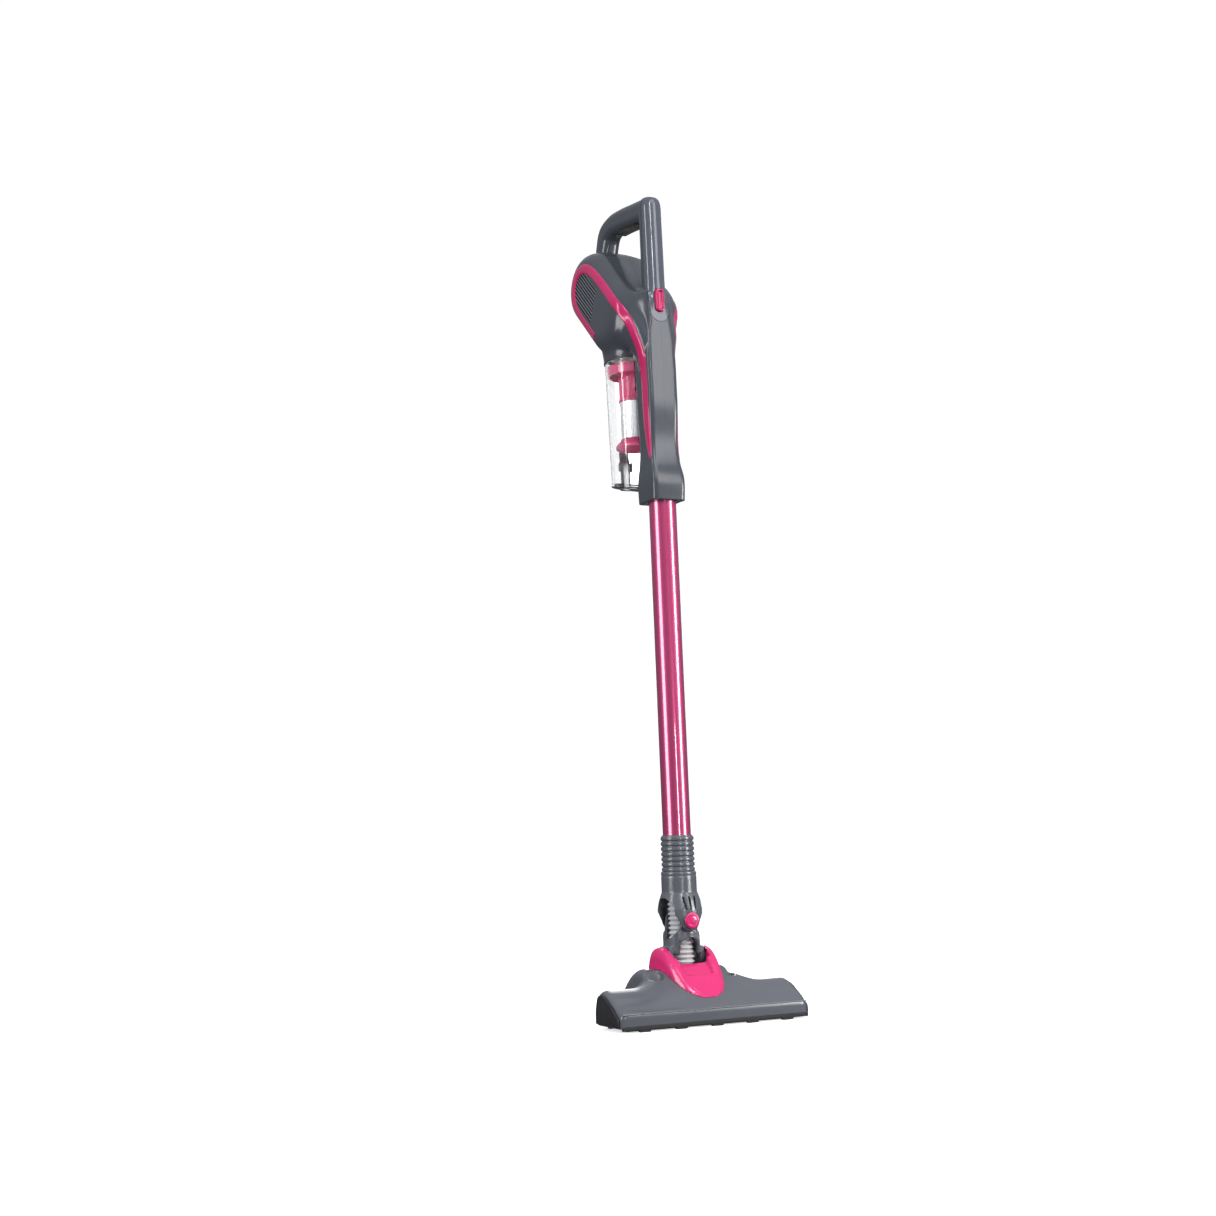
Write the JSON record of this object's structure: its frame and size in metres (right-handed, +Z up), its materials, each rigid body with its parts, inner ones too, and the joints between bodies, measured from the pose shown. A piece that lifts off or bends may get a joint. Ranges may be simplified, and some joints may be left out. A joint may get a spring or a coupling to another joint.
{
  "type": "cordless stick vacuum",
  "caption": "Upright cordless stick vacuum with a detachable handheld unit, clear dust cup, straight wand and jointed floor head.",
  "frame": {"origin": "on the floor under the axis of the upright wand, at the flat heel pad of the floor head", "axes": "+Z up along the upright wand; -Y towards the front, the side of the power button and the head's straight edge; +X to the right seen from the front"},
  "size_m": [0.2686, 0.2536, 1.0929],
  "materials": {
    "shell_grey": "dark slate grey moulded plastic, fine gloss",
    "trim_grey": "dark grey plastic, satin",
    "black_rubber": "black rubber",
    "hose_grey": "dark grey flexible hose, half gloss",
    "pink_gloss": "deep pink plastic, glossy",
    "pink_bright": "bright pink plastic, glossy",
    "wand_metal": "pink anodised aluminium",
    "clear_cup": "clear plastic",
    "mesh_steel": "fine steel mesh",
    "steel": "steel",
    "copper": "enamelled copper windings",
    "cell_wrap": "battery cell in a plastic sleeve",
    "board": "green circuit board",
    "brush": "dark grey core with black bristle strips",
    "filter_paper": "pleated filter paper"
  },
  "bodies": {
    "floor_head": {"head_shell": "shell_grey", "base_plate": "trim_grey", "head_cover": "pink_bright", "front_bumper": "black_rubber", "end_bumper_left": "black_rubber", "end_bumper_right": "black_rubber", "lint_strip_front": "black_rubber", "lint_strip_rear": "black_rubber", "brush_motor": "steel", "neck_pin_left": "steel", "neck_pin_right": "steel", "wheel_axle_left": "steel", "wheel_axle_right": "steel"},
    "brush_roll": {"brush_roll": "brush"},
    "wheel_left": {"wheel_left": "black_rubber"},
    "wheel_right": {"wheel_right": "black_rubber"},
    "yoke": {"yoke": "shell_grey", "lower_hose": "hose_grey"},
    "fork": {"fork": "shell_grey", "pivot_cap_front": "pink_bright", "pivot_cap_rear": "pink_bright", "upper_hose": "hose_grey", "cuff": "trim_grey"},
    "wand": {"wand": "wand_metal"},
    "handheld": {"body_shell_left": "shell_grey", "body_shell_right": "shell_grey", "trim_band_left": "pink_gloss", "trim_band_right": "pink_gloss", "grille_left": "trim_grey", "grille_right": "trim_grey", "column_cover": "shell_grey", "grip_pad": "trim_grey", "power_switch": "trim_grey", "circuit_board": "board", "charge_socket": "black_rubber", "battery_tray": "trim_grey", "battery_cell_1": "cell_wrap", "battery_cell_2": "cell_wrap", "battery_cell_3": "cell_wrap", "battery_cell_4": "cell_wrap", "suction_duct": "trim_grey", "cyclone": "pink_gloss", "mesh_filter": "mesh_steel", "cyclone_skirt": "pink_gloss", "fine_filter": "filter_paper", "cup_seal": "black_rubber", "motor_housing": "trim_grey", "motor_cap": "steel", "motor_mount": "black_rubber", "stator": "copper", "bearing_lower": "steel", "bearing_upper": "steel"},
    "rotor": {"rotor": "steel", "fan": "trim_grey"},
    "power_button": {"power_button": "pink_gloss"},
    "dust_cup": {"dust_cup": "clear_cup", "lid_pin": "steel"},
    "cup_lid": {"cup_lid": "clear_cup", "lid_seal": "black_rubber"},
    "lid_latch": {"lid_latch": "trim_grey"}
  },
  "joints": [
    {"name": "brush_spin", "type": "hinge", "parent": "floor_head", "child": "brush_roll", "pos_m": [0, -0.04, 0.0125], "axis": [1, 0, 0], "continuous": true},
    {"name": "wheel_left_spin", "type": "hinge", "parent": "floor_head", "child": "wheel_left", "pos_m": [-0.048, 0.042, 0.015], "axis": [1, 0, 0], "continuous": true},
    {"name": "wheel_right_spin", "type": "hinge", "parent": "floor_head", "child": "wheel_right", "pos_m": [0.048, 0.042, 0.015], "axis": [1, 0, 0], "continuous": true},
    {"name": "neck_lean", "type": "hinge", "parent": "floor_head", "child": "yoke", "pos_m": [0, 0, 0.08], "axis": [-1, 0, 0], "range_deg": [0, 75]},
    {"name": "neck_tip", "type": "hinge", "parent": "yoke", "child": "fork", "pos_m": [0, 0, 0.125], "axis": [0, 1, 0], "range_deg": [-40, 40]},
    {"name": "wand_pull", "type": "slide", "parent": "fork", "child": "wand", "axis": [0, 0, 1], "range_m": [0, 0.05]},
    {"name": "handheld_pull", "type": "slide", "parent": "wand", "child": "handheld", "axis": [0, 0, 1], "range_m": [0, 0.045]},
    {"name": "rotor_spin", "type": "hinge", "parent": "handheld", "child": "rotor", "pos_m": [0, 0.09256, 0.96446], "axis": [0, 0.7071, 0.7071], "continuous": true},
    {"name": "power_press", "type": "slide", "parent": "handheld", "child": "power_button", "axis": [0, 1, 0], "range_m": [0, 0.002], "stiffness_N_per_m": 600},
    {"name": "cup_slide", "type": "slide", "parent": "handheld", "child": "dust_cup", "axis": [0, 0, -1], "range_m": [0, 0.125]},
    {"name": "lid_swing", "type": "hinge", "parent": "dust_cup", "child": "cup_lid", "pos_m": [0, 0.0282, 0.6848], "axis": [-1, 0, 0], "range_deg": [0, 75]},
    {"name": "latch_rock", "type": "hinge", "parent": "dust_cup", "child": "lid_latch", "pos_m": [0, 0.1034, 0.733], "axis": [1, 0, 0], "range_deg": [0, 8], "stiffness_Nm_per_rad": 0.4}
  ]
}
